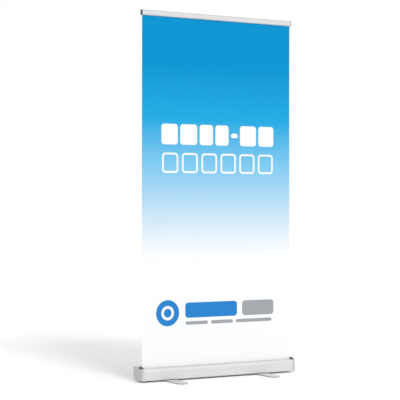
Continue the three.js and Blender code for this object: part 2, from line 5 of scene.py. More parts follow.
import bpy
from bpy.props import FloatProperty, FloatVectorProperty, IntProperty, PointerProperty
from mathutils import Matrix, Vector


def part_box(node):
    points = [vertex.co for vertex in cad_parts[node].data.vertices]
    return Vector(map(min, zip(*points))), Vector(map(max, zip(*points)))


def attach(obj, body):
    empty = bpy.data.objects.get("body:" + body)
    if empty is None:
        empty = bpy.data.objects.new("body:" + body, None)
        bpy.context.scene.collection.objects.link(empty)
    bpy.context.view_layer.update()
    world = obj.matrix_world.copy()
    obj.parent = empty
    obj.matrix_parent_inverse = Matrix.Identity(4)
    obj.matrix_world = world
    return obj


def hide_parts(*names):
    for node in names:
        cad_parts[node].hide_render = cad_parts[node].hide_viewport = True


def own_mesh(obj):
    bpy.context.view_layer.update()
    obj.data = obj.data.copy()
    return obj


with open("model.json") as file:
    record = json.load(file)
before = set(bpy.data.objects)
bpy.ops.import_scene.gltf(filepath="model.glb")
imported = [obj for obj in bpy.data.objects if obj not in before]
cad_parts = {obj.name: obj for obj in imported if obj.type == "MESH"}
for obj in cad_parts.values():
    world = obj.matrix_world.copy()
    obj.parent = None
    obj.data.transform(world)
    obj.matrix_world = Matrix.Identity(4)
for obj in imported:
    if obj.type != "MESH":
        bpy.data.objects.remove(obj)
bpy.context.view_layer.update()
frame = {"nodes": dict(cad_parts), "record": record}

bl_info = {
    "name": "Roll-up banner stand",
    "version": (1, 0, 0),
    "blender": (4, 5, 0),
    "location": "View3D > Sidebar > Banner",
    "description": "Builds a roll-up banner stand and its studio around the packed frame",
    "category": "Object",
}

MM = 0.001
NEAR = 2e-5                                  # places this close count as the same
MERGE = 1e-6                                 # vertices this close are merged

# ---- Places that the frame gives --------------------------------------------
FILM_LOW, FILM_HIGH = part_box("film_lower")[0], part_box("film_upper")[1]
FILM_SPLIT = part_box("film_upper")[0].z       # the film's two parts meet at this height
FILM_Y = (FILM_LOW.y + FILM_HIGH.y) / 2
SLOT_Y = FILM_Y - 0.6 * MM                   # the film runs a little behind the slot's centre
SHELL_LOW, SHELL_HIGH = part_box("cassette_shell")
CAP_LOW, CAP_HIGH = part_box("end_cap_right")
RAIL_END_LOW, RAIL_END_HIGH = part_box("rail_cap_right")
RAIL_BOTTOM = RAIL_END_LOW.z
POLE_LOW, POLE_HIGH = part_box("pole_lower")
POLE_Y = (POLE_LOW.y + POLE_HIGH.y) / 2
ENDS = ("left", "right")
FRONT = (SHELL_LOW.y - SLOT_Y) / MM          # front and back walls, in millimetres from the slot's centre
BACK = (SHELL_HIGH.y - SLOT_Y) / MM
PROUD = 0.6                                  # the end caps stand this much outside the extrusion


# ---- Settings ------------------------------------------------------------------
class StandColours(bpy.types.PropertyGroup):
    """Colours of the print and of the finishes."""

    sky: FloatVectorProperty(name="Sky", description="Print at the top", subtype="COLOR", size=3,
                             default=(0.0, 0.237, 0.51), min=0, max=1)
    low_sky: FloatVectorProperty(name="Low sky", description="Print a third of the way down", subtype="COLOR",
                                 size=3, default=(0.012, 0.322, 0.605), min=0, max=1)
    haze: FloatVectorProperty(name="Haze", description="Print half way down", subtype="COLOR", size=3,
                              default=(0.16, 0.462, 0.69), min=0, max=1)
    paper: FloatVectorProperty(name="Paper", description="Unprinted white film", subtype="COLOR", size=3,
                               default=(0.775, 0.778, 0.782), min=0, max=1)
    emblem: FloatVectorProperty(name="Emblem", description="Blue of the placeholder emblem", subtype="COLOR",
                                size=3, default=(0.02, 0.19, 0.50), min=0, max=1)
    emblem_grey: FloatVectorProperty(name="Emblem grey", description="Grey of the placeholder emblem",
                                     subtype="COLOR", size=3, default=(0.30, 0.31, 0.33), min=0, max=1)
    silver: FloatVectorProperty(name="Silver", description="Anodised aluminium", subtype="COLOR", size=3,
                                default=(0.654, 0.657, 0.659), min=0, max=1)
    cap: FloatVectorProperty(name="Caps", description="Moulded end caps", subtype="COLOR", size=3,
                             default=(0.5, 0.505, 0.51), min=0, max=1)
    dark: FloatVectorProperty(name="Dark plastic", description="Cheeks, rail caps and bearing plates",
                              subtype="COLOR", size=3, default=(0.075, 0.078, 0.08), min=0, max=1)


class StandSizes(bpy.types.PropertyGroup):
    """Sizes that shape the visible pieces."""

    wall: FloatProperty(name="Wall", description="Wall of the cassette extrusion", unit="LENGTH",
                        default=1.8 * MM, min=0.5 * MM, max=4 * MM)
    shoulder: FloatProperty(name="Shoulder", description="Radius of the cassette's front shoulder",
                            unit="LENGTH", default=15 * MM, min=4 * MM, max=20 * MM)
    film_thickness: FloatProperty(name="Film", description="Thickness of the printed film", unit="LENGTH",
                                  default=0.4 * MM, min=0.1 * MM, max=1 * MM)
    film_bow: FloatProperty(name="Bow", description="How far the film's side edges bow back", unit="LENGTH",
                            default=2.2 * MM, min=0, max=6 * MM)
    film_wave: FloatProperty(name="Wave", description="Height of the film's slow waves", unit="LENGTH",
                             default=0.5 * MM, min=0, max=2 * MM)
    collar_ribs: IntProperty(name="Ribs", description="Grip ribs round a twist collar", default=24, min=8,
                             max=48)
    round_steps: IntProperty(name="Roundness", description="Sides of a turned piece", default=64, min=16,
                             max=128)


class StudioSettings(bpy.types.PropertyGroup):
    """Camera and light."""

    distance: FloatProperty(name="Distance", description="Camera to the point it looks over, along the floor",
                            unit="LENGTH", default=8.07, min=1, max=30)
    azimuth: FloatProperty(name="Azimuth", description="Side from which the camera looks", subtype="ANGLE",
                           default=math.radians(-30.07), min=-math.pi, max=math.pi)
    height: FloatProperty(name="Height", description="Camera above the floor", unit="LENGTH", default=0.998,
                          min=0.1, max=5)
    lens: FloatProperty(name="Lens", description="Focal length in millimetres", default=124.4, min=20,
                        max=300)
    key: FloatProperty(name="Key", description="Strength of the light from the front", default=1.25, min=0,
                       max=20)
    key_size: FloatProperty(name="Key size", description="How wide the key light looks", subtype="ANGLE",
                            default=math.radians(18), min=0, max=math.pi)
    dim: FloatProperty(name="Dim side", description="Light that comes from the left, as a part of the rest",
                       subtype="FACTOR", default=0.55, min=0, max=1)
    ambient: FloatProperty(name="Ambient", description="Strength of the light from all round", default=1.0,
                           min=0, max=3)


# ---- Modelling by hand -----------------------------------------------------------
def only(piece):
    """Leaves one object selected and active, in object mode."""
    if bpy.context.mode != "OBJECT":
        bpy.ops.object.mode_set(mode="OBJECT")
    bpy.ops.object.select_all(action="DESELECT")
    piece.select_set(True)
    bpy.context.view_layer.objects.active = piece
    return piece


def begin(name, primitive, **settings):
    """Adds a primitive with nothing else selected, and moves its place into its mesh."""
    if bpy.context.mode != "OBJECT":
        bpy.ops.object.mode_set(mode="OBJECT")
    bpy.ops.object.select_all(action="DESELECT")
    primitive(**settings)
    piece = bpy.context.active_object
    if piece is None or piece.type != "MESH":
        raise RuntimeError(f"{name}: the primitive gave no mesh")
    piece.name = piece.data.name = name
    bpy.ops.object.transform_apply(location=True, rotation=True, scale=True)
    return piece


def pick(piece, mode, test):
    """Enters edit mode with just the vertices, edges or faces that pass the test selected."""
    only(piece)
    mesh = piece.data
    flags = {"VERT": (True, False, False), "EDGE": (False, True, False), "FACE": (False, False, True)}
    bpy.context.tool_settings.mesh_select_mode = flags[mode]
    for group in (mesh.vertices, mesh.edges, mesh.polygons):
        group.foreach_set("select", [False] * len(group))
    found = 0
    if mode == "VERT":
        for vertex in mesh.vertices:
            vertex.select = test(vertex.co)
            found += vertex.select
    elif mode == "EDGE":
        for edge in mesh.edges:
            ends = [mesh.vertices[i] for i in edge.vertices]
            if test(ends[0].co, ends[1].co):
                edge.select = True
                found += 1
                for vertex in ends:
                    vertex.select = True
    else:
        for face in mesh.polygons:
            face.select = test(face.center, face.normal)
            found += face.select
    if not found:
        raise RuntimeError(f"{piece.name}: no {mode.lower()} passes the test")
    bpy.ops.object.mode_set(mode="EDIT")


def leave():
    """Goes back to object mode."""
    bpy.ops.object.mode_set(mode="OBJECT")


def open_all(piece):
    """Enters edit mode with the whole mesh selected."""
    only(piece)
    bpy.ops.object.mode_set(mode="EDIT")
    bpy.ops.mesh.select_all(action="SELECT")


def trace(name, points):
    """A chain of edges through the points, drawn by extruding one vertex after another."""
    piece = begin(name, bpy.ops.mesh.primitive_plane_add, size=1 * MM, location=points[0])
    bpy.context.tool_settings.mesh_select_mode = (True, False, False)
    open_all(piece)
    bpy.ops.mesh.merge(type="CENTER")
    for start, end in zip(points, points[1:]):
        step = Vector(end) - Vector(start)
        bpy.ops.mesh.extrude_vertices_move(TRANSFORM_OT_translate={"value": step})
    return piece


def tidy_normals(piece):
    """Merges doubled vertices and turns the faces outwards."""
    open_all(piece)
    bpy.ops.mesh.remove_doubles(threshold=MERGE)
    bpy.ops.mesh.normals_make_consistent(inside=False)
    leave()


def flip(piece):
    """Turns every face the other way."""
    open_all(piece)
    bpy.ops.mesh.flip_normals()
    leave()


def round_corners(piece, corners, along, steps):
    """Rounds the long edges at the given corners: pairs of (place, run), the run taken along each side."""
    across = [axis for axis in range(3) if axis != along]

    def at(place):
        def test(a, b):
            near = all(abs(p[axis] - q) < NEAR for p in (a, b) for axis, q in zip(across, place))
            return near and abs(a[along] - b[along]) > 0.1 * MM
        return test

    for place, run in corners:
        pick(piece, "EDGE", at(place))
        bpy.ops.mesh.bevel(offset=run, offset_type="OFFSET", segments=steps, affect="EDGES")
        leave()


def bar(name, outline, x0, x1, rounds=(), steps=10):
    """A closed Y-Z outline pushed along X. rounds pairs an outline corner's number with its run."""
    piece = trace(name, [(x0, y, z) for y, z in outline])
    bpy.ops.mesh.select_all(action="SELECT")
    bpy.ops.mesh.edge_face_add()
    bpy.ops.mesh.extrude_region_move(TRANSFORM_OT_translate={"value": (x1 - x0, 0, 0)})
    leave()
    tidy_normals(piece)
    round_corners(piece, [(outline[i], run) for i, run in rounds], 0, steps)
    return piece


def turn(name, profile, centre, axis="Z", steps=None):
    """Spins a (radius, height) profile about an axis. It's closed, or starts and ends on the axis."""
    centre = Vector(centre)
    out, up = {"Z": ((1, 0, 0), (0, 0, 1)), "X": ((0, 1, 0), (1, 0, 0))}[axis]
    points = [centre + Vector(out) * r + Vector(up) * h for r, h in profile]
    if profile[0][0] > 0 or profile[-1][0] > 0:
        points.append(points[0])
    piece = trace(name, points)
    bpy.ops.mesh.select_all(action="SELECT")
    bpy.ops.mesh.spin(steps=steps or bpy.context.scene.stand_sizes.round_steps, angle=2 * math.pi,
                      center=centre, axis=up)
    leave()
    tidy_normals(piece)
    return piece


def carve(piece, *cutters):
    """Cuts the cutters out of the piece and deletes them."""
    for cutter in cutters:
        only(piece)
        modifier = piece.modifiers.new("cut", "BOOLEAN")
        modifier.operation = "DIFFERENCE"
        modifier.solver = "EXACT"
        modifier.object = cutter
        bpy.ops.object.modifier_apply(modifier=modifier.name)
        bpy.data.objects.remove(cutter)
    return piece


def soften(piece, width, segments=3, angle=35):
    """Rounds every sharp edge by a small amount."""
    only(piece)
    modifier = piece.modifiers.new("edges", "BEVEL")
    modifier.width = width
    modifier.segments = segments
    modifier.limit_method = "ANGLE"
    modifier.angle_limit = math.radians(angle)
    bpy.ops.object.modifier_apply(modifier=modifier.name)
    return piece


def smooth(piece, angle=30):
    """Shades the piece smooth, except across edges sharper than the angle."""
    only(piece)
    bpy.ops.object.shade_smooth_by_angle(angle=math.radians(angle))
    return piece


def thicken(piece, thickness, offset):
    """Gives a sheet of faces its wall. Offset is -1 for a wall behind the faces."""
    only(piece)
    modifier = piece.modifiers.new("wall", "SOLIDIFY")
    modifier.thickness = thickness
    modifier.offset = offset
    modifier.use_even_offset = True
    bpy.ops.object.modifier_apply(modifier=modifier.name)
    return piece


def rod(name, radius, start, end, sides=32):
    """A plain cylinder from start to end, to cut with."""
    start, end = Vector(start), Vector(end)
    way = end - start
    turned = way.to_track_quat("Z", "Y").to_euler()
    return begin(name, bpy.ops.mesh.primitive_cylinder_add, vertices=sides, radius=radius,
                 depth=way.length, location=(start + end) / 2, rotation=turned)


def refined(node, width, name=None):
    """A merged copy of a CAD node with its edges rounded."""
    source = frame["nodes"][node]
    copy = source.copy()
    copy.data = source.data.copy()
    copy.name = copy.data.name = name or f"{node}_fine"
    copy.data.materials.clear()
    copy.parent = None
    copy.matrix_world = Matrix.Identity(4)
    bpy.context.scene.collection.objects.link(copy)
    open_all(copy)
    bpy.ops.mesh.remove_doubles(threshold=MERGE)
    bpy.ops.mesh.dissolve_limited(angle_limit=math.radians(1))
    leave()
    soften(copy, width, 2)
    return smooth(copy)


def mirrored(piece, name):
    """A copy reflected to the other end of the stand, with its faces turned outwards again."""
    only(piece)
    bpy.ops.object.duplicate()
    copy = bpy.context.active_object
    copy.name = copy.data.name = name
    bpy.ops.transform.mirror(orient_type="GLOBAL", constraint_axis=(True, False, False),
                             center_override=(0, 0, 0))
    bpy.ops.object.transform_apply(location=True, rotation=True, scale=True)
    flip(copy)
    return copy


def stand_for(piece, finish, node):
    """Gives a finished piece its material and has it take a CAD node's place, on the node's own body."""
    piece.data.materials.clear()
    piece.data.materials.append(finishes()[finish])
    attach(piece, body_of(node))
    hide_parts(node)


def middle(node):
    """The Y and Z of a CAD node's centre."""
    low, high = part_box(node)
    return (low.y + high.y) / 2, (low.z + high.z) / 2


def body_of(node):
    """Name of the body that a CAD node belongs to."""
    for body, nodes in frame["record"]["behaviour"]["bodies"].items():
        if node in nodes:
            return body
    raise RuntimeError(f"no body holds {node}")


# ---- Materials --------------------------------------------------------------------
MIDDLE = (0.3, 0.7)              # most of a noise's values fall between these


class Recipe:
    """A material's node tree, with short ways to add and join nodes."""

    def __init__(self, name, roughness, metallic=0.0, specular=0.5):
        self.material = bpy.data.materials.new(name)
        self.material.use_nodes = True
        self.tree = self.material.node_tree
        self.shader = self.tree.nodes["Principled BSDF"]
        self.shader.inputs["Roughness"].default_value = roughness
        self.shader.inputs["Metallic"].default_value = metallic
        self.shader.inputs["Specular IOR Level"].default_value = specular

    def add(self, kind, inputs=None, **settings):
        """A new node, with its inputs set or joined."""
        node = self.tree.nodes.new(kind)
        for key, value in settings.items():
            setattr(node, key, value)
        for key, value in (inputs or {}).items():
            self.put(node.inputs[key], value)
        return node

    def put(self, socket, value):
        """Joins another node's output to the socket, or sets a constant on it."""
        if isinstance(value, bpy.types.NodeSocket):
            self.tree.links.new(value, socket)
        else:
            socket.default_value = value

    def colour(self, tone):
        self.put(self.shader.inputs["Base Color"], tone)

    def rough(self, factor, low, high):
        """Roughness from low to high, following a noise."""
        self.put(self.shader.inputs["Roughness"], self.range(factor, *MIDDLE, low, high))

    def mottle(self, factor, dark, light):
        """A colour from dark to light, following a noise."""
        return self.ramp(factor, [(MIDDLE[0], dark), (MIDDLE[1], light)])

    def math(self, operation, *values):
        node = self.add("ShaderNodeMath", operation=operation)
        for socket, value in zip(node.inputs, values):
            self.put(socket, value)
        return node.outputs[0]

    def stretched(self, scale):
        """Object coordinates, stretched."""
        place = self.add("ShaderNodeTexCoord").outputs["Object"]
        return self.add("ShaderNodeMapping", {"Vector": place, "Scale": scale}).outputs[0]

    def noise(self, vector, scale, detail=4.0, rough=0.55):
        node = self.add("ShaderNodeTexNoise", {"Vector": vector, "Scale": scale, "Detail": detail,
                                               "Roughness": rough})
        return node.outputs["Fac"]

    def ramp(self, factor, stops):
        node = self.add("ShaderNodeValToRGB", {"Fac": factor})
        elements = node.color_ramp.elements
        while len(elements) < len(stops):
            elements.new(0.5)
        for element, (place, colour) in zip(elements, stops):
            element.position = place
            element.color = (*colour, 1)
        return node.outputs["Color"]

    def mix(self, factor, a, b):
        node = self.add("ShaderNodeMix", data_type="RGBA")
        for key, value in (("Factor", factor), ("A", a), ("B", b)):
            kind = "VALUE" if key == "Factor" else "RGBA"
            socket = [s for s in node.inputs if s.name == key and s.type == kind][0]
            if isinstance(value, tuple) and len(value) == 3:
                value = (*value, 1)
            self.put(socket, value)
        return [s for s in node.outputs if s.type == "RGBA"][0]

    def range(self, value, low, high, to_low, to_high):
        node = self.add("ShaderNodeMapRange", {"Value": value, "From Min": low, "From Max": high,
                                               "To Min": to_low, "To Max": to_high})
        return node.outputs[0]

    def bump(self, height, strength, distance):
        node = self.add("ShaderNodeBump", {"Height": height, "Strength": strength, "Distance": distance})
        self.put(self.shader.inputs["Normal"], node.outputs[0])

    def edge_wear(self, radius):
        """1 on edges, 0 on flat faces, from how far a rounded normal leans off the real one."""
        flat, worn = 0.99, 0.75
        bevel = self.add("ShaderNodeBevel", {"Radius": radius}, samples=4)
        plain = self.add("ShaderNodeNewGeometry").outputs["Normal"]
        same = self.add("ShaderNodeVectorMath", {0: bevel.outputs[0], 1: plain}, operation="DOT_PRODUCT")
        return self.range(same.outputs["Value"], flat, worn, 0.0, 1.0)


def shade(colour, factor):
    """The colour made lighter or darker."""
    return tuple(min(1.0, channel * factor) for channel in colour)


def anodised(name, colour, along, roughness=0.42):
    """Satin anodised aluminium with faint drawing lines along one axis."""
    recipe = Recipe(name, roughness, metallic=0.5, specular=0.3)
    stretch = [620.0, 620.0, 620.0]
    stretch[along] = 1.6
    lines = recipe.noise(recipe.stretched(stretch), 1.0, 3.0)
    clouds = recipe.noise(recipe.stretched((6.0, 6.0, 6.0)), 1.0, 3.0)
    mixed = recipe.math("ADD", recipe.math("MULTIPLY", lines, 0.6), recipe.math("MULTIPLY", clouds, 0.4))
    recipe.colour(recipe.mottle(mixed, shade(colour, 0.93), shade(colour, 1.04)))
    recipe.rough(lines, roughness - 0.06, roughness + 0.08)
    recipe.bump(lines, 0.12, 0.02 * MM)
    return recipe.material


def moulded(name, colour, roughness):
    """Moulded plastic with a fine spark-eroded grain and paler edges."""
    recipe = Recipe(name, roughness)
    place = recipe.stretched((1.0, 1.0, 1.0))
    grain = recipe.noise(place, 900.0, 2.0)
    clouds = recipe.noise(place, 14.0, 3.0)
    tone = recipe.mottle(clouds, shade(colour, 0.92), shade(colour, 1.07))
    wear = recipe.math("MULTIPLY", recipe.edge_wear(0.6 * MM), 0.22)
    recipe.colour(recipe.mix(wear, tone, shade(colour, 1.6)))
    recipe.rough(clouds, roughness - 0.06, roughness + 0.08)
    recipe.bump(grain, 0.35, 0.03 * MM)
    return recipe.material


def powder_coat(name, colour):
    """Fine orange-peel powder coat."""
    recipe = Recipe(name, 0.42, metallic=0.15)
    place = recipe.stretched((1.0, 1.0, 1.0))
    peel = recipe.noise(place, 420.0, 2.0)
    clouds = recipe.noise(place, 9.0, 4.0)
    scuffs = recipe.noise(recipe.stretched((40.0, 260.0, 40.0)), 1.0, 6.0, 0.7)
    tone = recipe.mottle(clouds, shade(colour, 0.95), shade(colour, 1.03))
    marks = recipe.range(scuffs, 0.66, 0.74, 0.0, 0.25)
    recipe.colour(recipe.mix(marks, tone, shade(colour, 0.7)))
    recipe.rough(peel, 0.36, 0.5)
    recipe.bump(peel, 0.3, 0.05 * MM)
    return recipe.material


def plated_steel(name):
    """Zinc-plated steel, slightly cloudy."""
    recipe = Recipe(name, 0.3, metallic=1.0)
    place = recipe.stretched((1.0, 1.0, 1.0))
    clouds = recipe.noise(place, 160.0, 5.0)
    recipe.colour(recipe.mottle(clouds, (0.45, 0.46, 0.47), (0.66, 0.67, 0.68)))
    recipe.rough(clouds, 0.24, 0.42)
    recipe.bump(recipe.noise(place, 700.0, 2.0), 0.15, 0.02 * MM)
    return recipe.material


def rubber(name):
    """Black rubber with a little dust on it."""
    recipe = Recipe(name, 0.85, specular=0.3)
    place = recipe.stretched((1.0, 1.0, 1.0))
    dust = recipe.noise(place, 90.0, 6.0, 0.7)
    recipe.colour(recipe.ramp(dust, [(0.35, (0.018, 0.018, 0.018)), (0.75, (0.05, 0.049, 0.047))]))
    recipe.bump(recipe.noise(place, 1100.0, 2.0), 0.4, 0.04 * MM)
    return recipe.material


def nylon(name, colour):
    """Natural nylon, slightly cloudy."""
    recipe = Recipe(name, 0.45)
    place = recipe.stretched((1.0, 1.0, 1.0))
    clouds = recipe.noise(place, 45.0, 3.0)
    recipe.colour(recipe.mottle(clouds, shade(colour, 0.92), shade(colour, 1.05)))
    recipe.bump(recipe.noise(place, 1500.0, 1.0), 0.2, 0.02 * MM)
    return recipe.material


def felt(name):
    """Short pile on the soft guide inside the slot."""
    recipe = Recipe(name, 0.95, specular=0.1)
    pile = recipe.noise(recipe.stretched((1.0, 1.0, 1.0)), 2600.0, 3.0, 0.8)
    recipe.colour(recipe.ramp(pile, [(0.35, (0.03, 0.03, 0.032)), (0.7, (0.10, 0.10, 0.104))]))
    recipe.shader.inputs["Sheen Weight"].default_value = 0.4
    recipe.bump(pile, 0.8, 0.2 * MM)
    return recipe.material


def film_back(name, colour):
    """Grey light-stop side of the film, with faint coating streaks along its length."""
    recipe = Recipe(name, 0.5)
    streaks = recipe.noise(recipe.stretched((160.0, 160.0, 0.8)), 1.0, 2.0)
    grain = recipe.noise(recipe.stretched((1.0, 1.0, 1.0)), 1400.0, 2.0)
    recipe.colour(recipe.mottle(streaks, shade(colour, 0.975), shade(colour, 1.02)))
    recipe.rough(streaks, 0.44, 0.58)
    recipe.bump(grain, 0.25, 0.03 * MM)
    return recipe.material


# ---- Print --------------------------------------------------------------------------
PRINT_MAP = "print"              # u runs across and v up the film, both in metres; v is 0 at the slot
EDGE_BLUR = 0.7 * MM             # half the soft edge round each printed block
DITHER = 0.004                   # how far the ink's grain shifts the gradient, as a share of its height


class PrintRecipe(Recipe):
    """The printed side of the film."""

    def __init__(self, name):
        super().__init__(name, 0.42, specular=0.06)
        self.place = self.add("ShaderNodeUVMap", uv_map=PRINT_MAP).outputs["UV"]

    def block(self, centre, size, radius, line=0.0):
        """1 inside a rounded rectangle, or inside its outline when line is its width."""
        radius = min(radius, size[0] / 2, size[1] / 2)
        shifted = self.add("ShaderNodeVectorMath", {0: self.place, 1: (*centre, 0)}, operation="SUBTRACT")
        folded = self.add("ShaderNodeVectorMath", {0: shifted.outputs[0]}, operation="ABSOLUTE")
        core = (size[0] / 2 - radius, size[1] / 2 - radius, 0)
        beyond = self.add("ShaderNodeVectorMath", {0: folded.outputs[0], 1: core}, operation="SUBTRACT")
        corner = self.add("ShaderNodeVectorMath", {0: beyond.outputs[0], 1: (0, 0, 0)}, operation="MAXIMUM")
        reach = self.add("ShaderNodeVectorMath", {0: corner.outputs[0]}, operation="LENGTH").outputs["Value"]
        if line:
            reach = self.math("ABSOLUTE", self.math("SUBTRACT", reach, radius - line / 2))
            radius = line / 2
        return self.range(reach, radius - EDGE_BLUR, radius + EDGE_BLUR, 1.0, 0.0)

    def any_of(self, masks):
        """1 where any of the masks is."""
        total = masks[0]
        for mask in masks[1:]:
            total = self.math("MAXIMUM", total, mask)
        return total


def between(a, b, share):
    """The colour that lies the share of the way from a to b."""
    return tuple(p + (q - p) * share for p, q in zip(a, b))


def printed_film(name, colours):
    """Sky gradient, two rows of placeholder headline blocks and a placeholder emblem."""
    recipe = PrintRecipe(name)
    sky, low_sky = tuple(colours.sky), tuple(colours.low_sky)
    haze, paper = tuple(colours.haze), tuple(colours.paper)
    height = FILM_HIGH.z - SHELL_HIGH.z
    v = recipe.add("ShaderNodeSeparateXYZ", {0: recipe.place}).outputs["Y"]
    grain = recipe.noise(recipe.place, 2200.0, 2.0)
    shift = recipe.math("MULTIPLY", recipe.math("SUBTRACT", grain, 0.5), DITHER)
    spread = recipe.math("ADD", recipe.math("DIVIDE", v, height), shift)
    gradient = recipe.ramp(spread, [
        (0.30, paper), (0.343, between(paper, haze, 0.13)), (0.413, between(paper, haze, 0.44)),
        (0.469, between(paper, haze, 0.66)), (0.524, between(paper, haze, 0.855)), (0.58, haze),
        (0.636, between(haze, low_sky, 0.53)), (0.70, low_sky), (0.86, sky),
    ])
    white = recipe.any_of(headline(recipe))
    blue, grey = emblem(recipe)
    tone = recipe.mix(white, gradient, paper)
    tone = recipe.mix(blue, tone, tuple(colours.emblem))
    recipe.colour(recipe.mix(grey, tone, tuple(colours.emblem_grey)))
    recipe.rough(recipe.noise(recipe.place, 7.0, 3.0), 0.34, 0.44)
    recipe.bump(recipe.noise(recipe.place, 900.0, 2.0), 0.12, 0.02 * MM)
    return recipe.material


def headline(recipe):
    """A bold row of six blocks round a dash, and a thin row of outlined blocks below it."""
    left, right = 0.125, 0.885
    bold_z, bold_height, dash_height = 1.322, 0.118, 0.026
    gap, thin_gap = 0.016, 0.024
    widths = [0.112, 0.118, 0.096, 0.096, 0.052, 0.118, 0.112]
    spare = right - left - sum(widths) - gap * (len(widths) - 1)
    u = left
    masks = []
    for i, width in enumerate(widths):
        width += spare / len(widths)
        height = dash_height if i == 4 else bold_height
        masks.append(recipe.block((u + width / 2, bold_z), (width, height), 0.018))
        u += width + gap
    thin_z, thin_height, count = 1.158, 0.116, 6
    pitch = (right - left + gap) / count
    for i in range(count):
        centre = (left + pitch * i + (pitch - gap) / 2, thin_z)
        masks.append(recipe.block(centre, (pitch - thin_gap, thin_height), 0.022, line=0.011))
    return masks


def emblem(recipe):
    """A ring and a bar in blue, a bar and a dashed line in grey."""
    ring_u, ring_v, ring_size, core_size = 0.165, 0.298, 0.15, 0.05
    bar_v, bar_height = ring_v + 0.012, 0.088
    line_v, line_height = ring_v - 0.062, 0.02
    ring = recipe.block((ring_u, ring_v), (ring_size, ring_size), ring_size / 2, line=0.034)
    core = recipe.block((ring_u, ring_v), (core_size, core_size), core_size / 2)
    blue = [ring, core, recipe.block((0.455, bar_v), (0.35, bar_height), 0.02)]
    grey = [recipe.block((0.775, bar_v), (0.22, bar_height), 0.02)]
    for centre, width in ((0.357, 0.15), (0.527, 0.15), (0.747, 0.25)):
        grey.append(recipe.block((centre, line_v), (width, line_height), line_height / 2))
    return recipe.any_of(blue), recipe.any_of(grey)


def finishes():
    """Every material by name. They are made once."""
    if not _FINISHES:
        colours = bpy.context.scene.stand_colours
        _FINISHES.update({
            "profile": anodised("anodised profile", tuple(colours.silver), 0),
            "tube": anodised("anodised tube", tuple(colours.silver), 2, 0.3),
            "cap": moulded("light grey moulding", tuple(colours.cap), 0.42),
            "dark": moulded("dark grey moulding", tuple(colours.dark), 0.5),
            "black": moulded("black moulding", (0.02, 0.02, 0.021), 0.45),
            "coat": powder_coat("silver powder coat", (0.58, 0.585, 0.59)),
            "steel": plated_steel("zinc plated steel"),
            "rubber": rubber("pad rubber"),
            "nylon": nylon("natural nylon", (0.80, 0.79, 0.75)),
            "felt": felt("guide felt"),
            "print": printed_film("printed film", colours),
            "backing": film_back("film backing", (0.36, 0.37, 0.38)),
        })
    return _FINISHES


_FINISHES = {}


# ---- Pieces ------------------------------------------------------------------------
def from_slot(*places):
    """Y-Z places in millimetres from the slot's centre and the floor, in the frame's metres."""
    return [(SLOT_Y + y * MM, z * MM) for y, z in places]


def from_rail(*places):
    """The same, with the heights taken from the rail's underside."""
    return from_slot(*[(y, RAIL_BOTTOM / MM + z) for y, z in places])


class STAND_OT_cassette(bpy.types.Operator):
    """Model the cassette's extrusion and the soft guide in its slot"""

    bl_idname = "stand.cassette"
    bl_label = "Cassette"

    def execute(self, context):
        self.extrusion(context.scene.stand_sizes)
        self.guide()
        return {"FINISHED"}

    def extrusion(self, sizes):
        """Its section runs from the front lip over the shoulder, down, under, up and into the slot."""
        x0, x1 = SHELL_LOW.x, SHELL_HIGH.x
        groove = 0.4                         # a fine line drawn along the front
        path = from_slot(
            (-5, 68), (-5, 79), (-13, 77.9), (FRONT, 76.3), (FRONT, 56.4), (FRONT + groove, 56),
            (FRONT, 55.6), (FRONT, 9.5), (BACK - 1, 9.5), (BACK - 0.1, 52), (BACK - 1.2, 87.5),
            (9, 87.5), (5, 84), (5, 12),
        )
        shell = trace("cassette_profile", [(x0, y, z) for y, z in path])
        bpy.ops.mesh.select_all(action="SELECT")
        bpy.ops.mesh.extrude_region_move(TRANSFORM_OT_translate={"value": (x1 - x0, 0, 0)})
        leave()
        inside = Vector((0, SLOT_Y, 45 * MM))
        outwards = sum((face.center - inside).dot(face.normal) * face.area for face in shell.data.polygons)
        if outwards < 0:
            flip(shell)
        for corner, run, steps in ((3, sizes.shoulder, 12), (7, 4 * MM, 5), (8, 27 * MM, 14),
                                   (9, 14 * MM, 6), (10, 4 * MM, 5), (1, 0.7 * MM, 3)):
            round_corners(shell, [(path[corner], run)], 0, steps)
        thicken(shell, sizes.wall, -1)
        top = SHELL_HIGH.z
        carve(shell, rod("pole_hole", 13.6 * MM, (0, POLE_Y, top - 12 * MM), (0, POLE_Y, top + 5 * MM), 48))
        stand_for(smooth(shell), "profile", "cassette_shell")

    def guide(self):
        """Soft strip with a rounded crest towards the film."""
        low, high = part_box("slot_guide")
        flank = high.y - 0.6 * MM
        outline = [(low.y, low.z), (flank, low.z + 0.8 * MM), (high.y, (low.z + high.z) / 2),
                   (flank, high.z - 1.2 * MM), (low.y, high.z)]
        rounds = [(1, 0.5 * MM), (2, 1.5 * MM), (3, 0.5 * MM)]
        guide = bar("guide_strip", outline, low.x, high.x, rounds, 3)
        stand_for(smooth(guide), "felt", "slot_guide")


